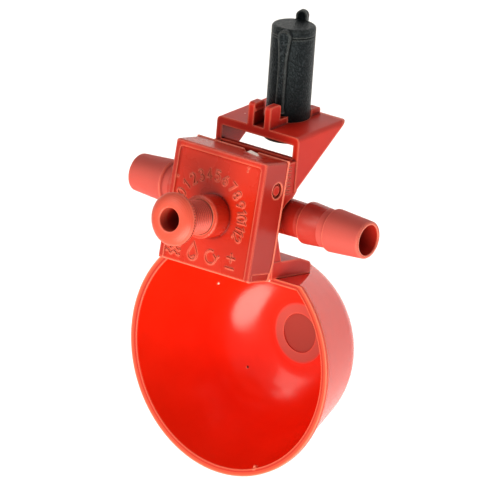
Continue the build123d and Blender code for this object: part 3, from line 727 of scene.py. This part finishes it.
signs = {
    "waves": [[(x / 10 - 0.5, level + 0.09 * math.sin(x * math.pi / 2.5)) for x in range(11)]
              for level in (0.1, 0.38, 0.66)],
    "drop": [[(0, 1.0)] + curve(0, 0.32, 0.32, 0.32, 150, 390, 14) + [(0, 1.0)],
             curve(0, 0.32, 0.15, 0.16, 250, 350, 5)],
    "turn": [curve(0, 0.45, 0.38, 0.38, 70, 360, 14), [(0.18, 0.62), (0.38, 0.42), (0.56, 0.64)]],
    "signs": [[(-0.3, 0.72), (0.3, 0.72)], [(0, 0.45), (0, 1.0)], [(-0.3, 0.14), (0.3, 0.14)]],
}


# Points this near count as one; a mitre's longest reach and its narrowest corner; the length of two
# summed directions below which a stroke turns back on itself
strokeLimits = {"touching": 1e-6, "longestMitre": 1.6, "narrowest": 0.5, "turnsBack": 0.2}


def bead(line, width, low, high, topShare):
    # A ridge of trapezoid section along a polyline of (x, y), with mitred corners
    touching = strokeLimits["touching"]
    closed = math.dist(line[0], line[-1]) < touching
    path = [Vector(point) for point in (line[:-1] if closed else line)]
    count = len(path)
    points = []
    for i, point in enumerate(path):
        before = path[i - 1] if closed or i else None
        after = path[(i + 1) % count] if closed or i < count - 1 else None
        ways = []
        if before is not None and (point - before).length > touching:
            ways.append((point - before).normalized())
        if after is not None and (after - point).length > touching:
            ways.append((after - point).normalized())
        way = sum(ways, Vector((0, 0)))
        way = way.normalized() if way.length > strokeLimits["turnsBack"] else ways[0]
        side = Vector((-way.y, way.x))
        across = abs(side.dot(Vector((-ways[0].y, ways[0].x))))
        stretch = min(strokeLimits["longestMitre"], 1 / max(strokeLimits["narrowest"], across))
        for share, z in ((-1, low), (-topShare, high), (topShare, high), (1, low)):
            spot = point + side * (width / 2 * share * stretch)
            points.append((spot.x, spot.y, z))
    faces = []
    for i in range(count if closed else count - 1):
        a, b = 4 * i, 4 * ((i + 1) % count)
        for j in range(4):
            faces.append((a + j, a + (j + 1) % 4, b + (j + 1) % 4, b + j))
    if not closed:
        faces += [(0, 1, 2, 3), tuple(4 * count - 4 + j for j in range(4))]
    return points, faces


def joinShapes(shapes):
    points, faces = [], []
    for more, moreFaces in shapes:
        faces += [tuple(index + len(points) for index in one) for one in moreFaces]
        points += more
    return points, faces


def faceBeads(strokes, size, centre, angle, width):
    # Strokes on the letter grid, turned so that their top points along angle
    turn = Matrix.Rotation(math.radians(angle - 90), 2)
    low, high = face["panelTop"] - face["sunk"], face["panelTop"] + face["relief"]
    middle = face["letterMiddle"]
    shapes = []
    for line in strokes:
        laid = [tuple(Vector(centre) + turn @ (Vector((x, y - middle)) * size)) for x, y in line]
        shapes.append(bead(laid, width, low, high, face["topShare"]))
    return shapes


def dialShapes(d):
    shapes = []
    for number in range(d["numbers"]):
        angle = d["firstAngle"] + (d["lastAngle"] - d["firstAngle"]) * number / (d["numbers"] - 1)
        text = str(number)
        for place, digit in enumerate(text):
            lean = (len(text) - 1 - 2 * place) * d["digitPitch"] / 2 / d["radius"]
            way = angle + math.degrees(lean)
            centre = (d["centre"][0] + d["radius"] * math.cos(math.radians(way)),
                      d["centre"][1] + d["radius"] * math.sin(math.radians(way)))
            shapes += faceBeads(digits[digit], d["height"], centre, way, face["stroke"])
    return shapes


def nibShapes(spots):
    # Small round studs of flash, narrower at the top
    sides = face["nibSides"]
    shapes = []
    for (x, y), radius in spots:
        ring = [(x + radius * math.cos(math.radians(a)), y + radius * math.sin(math.radians(a)))
                for a in range(0, 360, 360 // sides)]
        points = [(px, py, face["panelTop"] - face["sunk"]) for px, py in ring]
        points += [(x + (px - x) * face["nibTop"], y + (py - y) * face["nibTop"],
                    face["panelTop"] + face["nibRelief"]) for px, py in ring]
        faces = [(i, (i + 1) % sides, sides + (i + 1) % sides, sides + i) for i in range(sides)]
        faces.append(tuple(range(sides, 2 * sides)))
        shapes.append((points, faces))
    return shapes


marks = dialShapes(dial) + nibShapes(nibs)
for name, x in symbols["places"].items():
    marks += faceBeads(signs[name], symbols["height"], (x, symbols["row"]), 90, face["stroke"])
addPiece("faceMarks", *joinShapes(marks), "housing", "red_marks", "red_housing", smooth=False)

print("small marks of moulding")

# Tool ridges on the outer faces of the ears, in the rocker's frame: v along its Y, w along its Z
earRidges = {"faceX": 12.2, "first": 4.2, "pitch": 0.95, "count": 8, "wLow": -7.3, "wHigh": -3.2,
             "width": 0.45, "relief": 0.1, "sunk": 0.05, "slope": 0.12}


def ridgeShapes(r):
    shapes = []
    for side in (-1, 1):
        for step in range(r["count"]):
            v = r["first"] - step * r["pitch"]
            half = r["width"] / 2
            section = ((v - half, -r["sunk"]), (v, r["relief"]), (v + half, -r["sunk"]))
            points = []
            for w in (r["wLow"], r["wHigh"]):
                rise = (w - r["wLow"]) * r["slope"]
                points += [(side * (r["faceX"] + out), level + rise, w) for level, out in section]
            shapes.append((points, [(0, 1, 4, 3), (1, 2, 5, 4), (0, 2, 1), (3, 4, 5), (2, 0, 3, 5)]))
    return shapes


addPiece("earRidges", *joinShapes(ridgeShapes(earRidges)), "rocker",
         "red_rocker", "red_rocker", rockerPlace)

# Crumbs of flash and specks of burnt plastic: place in the rocker's frame, size, height share, material
crumbs = [
    ("flashRear", (9.4, -24.5, -4.3), 0.34, 0.8, "pale_flash"),
    ("flashSide", (10.5, -24.1, -4.2), 0.42, 0.8, "pale_flash"),
    ("flashRim", (10.35, -71.9, -5.2), 0.6, 1.0, "red_bowl"),
    ("speckDark", (-12.58, -57.12, -29.69), 0.32, 0.5, "burnt_speck"),
    ("speckPale", (-18.95, -36.0, -23.57), 0.38, 0.5, "pale_flash"),
]
lumps = {"depth": 0.18, "alongX": 9, "alongY": 7}


def crumb(name, place, size, share, material):
    build = bmesh.new()
    bmesh.ops.create_icosphere(build, subdivisions=2, radius=size)
    for vert in build.verts:
        wave = math.sin(vert.co.x * lumps["alongX"] / size) * math.cos(vert.co.y * lumps["alongY"] / size)
        vert.co *= 1 + lumps["depth"] * wave
        vert.co.z *= share
    points = [tuple(vert.co + Vector(place)) for vert in build.verts]
    faces = [tuple(vert.index for vert in one.verts) for one in build.faces]
    build.free()
    addPiece(name, points, faces, "rocker", material, "red_bowl", rockerPlace)


for entry in crumbs:
    crumb(*entry)

# A pale sliver on the edge of the top wall's notch, its white a painted highlight for a glint, in the row
# frame
sliver = {"from": (2.4, 8.9), "to": (7.0, 9.9), "foot": 14.5, "crest": 15.1,
          "lean": 1.6, "taper": 0.6, "setBack": 0.1}


def sliverShape(s):
    (x0, z0), (x1, z1), foot = s["from"], s["to"], s["foot"]
    points = [(x0, foot, z0), (x1, foot, z0 + s["lean"]), (x1, foot, z1 + s["lean"]), (x0, foot, z1),
              (x0 + s["taper"], s["crest"], z0 + s["setBack"]),
              (x1 - s["taper"], s["crest"], z0 + s["lean"] + s["setBack"])]
    return points, [(0, 1, 2, 3), (0, 1, 5, 4), (3, 2, 5, 4), (0, 4, 3), (1, 2, 5)]


addPiece("paintedGlintSliver", *sliverShape(sliver), "housing", "bright_flash", "red_housing", smooth=False)
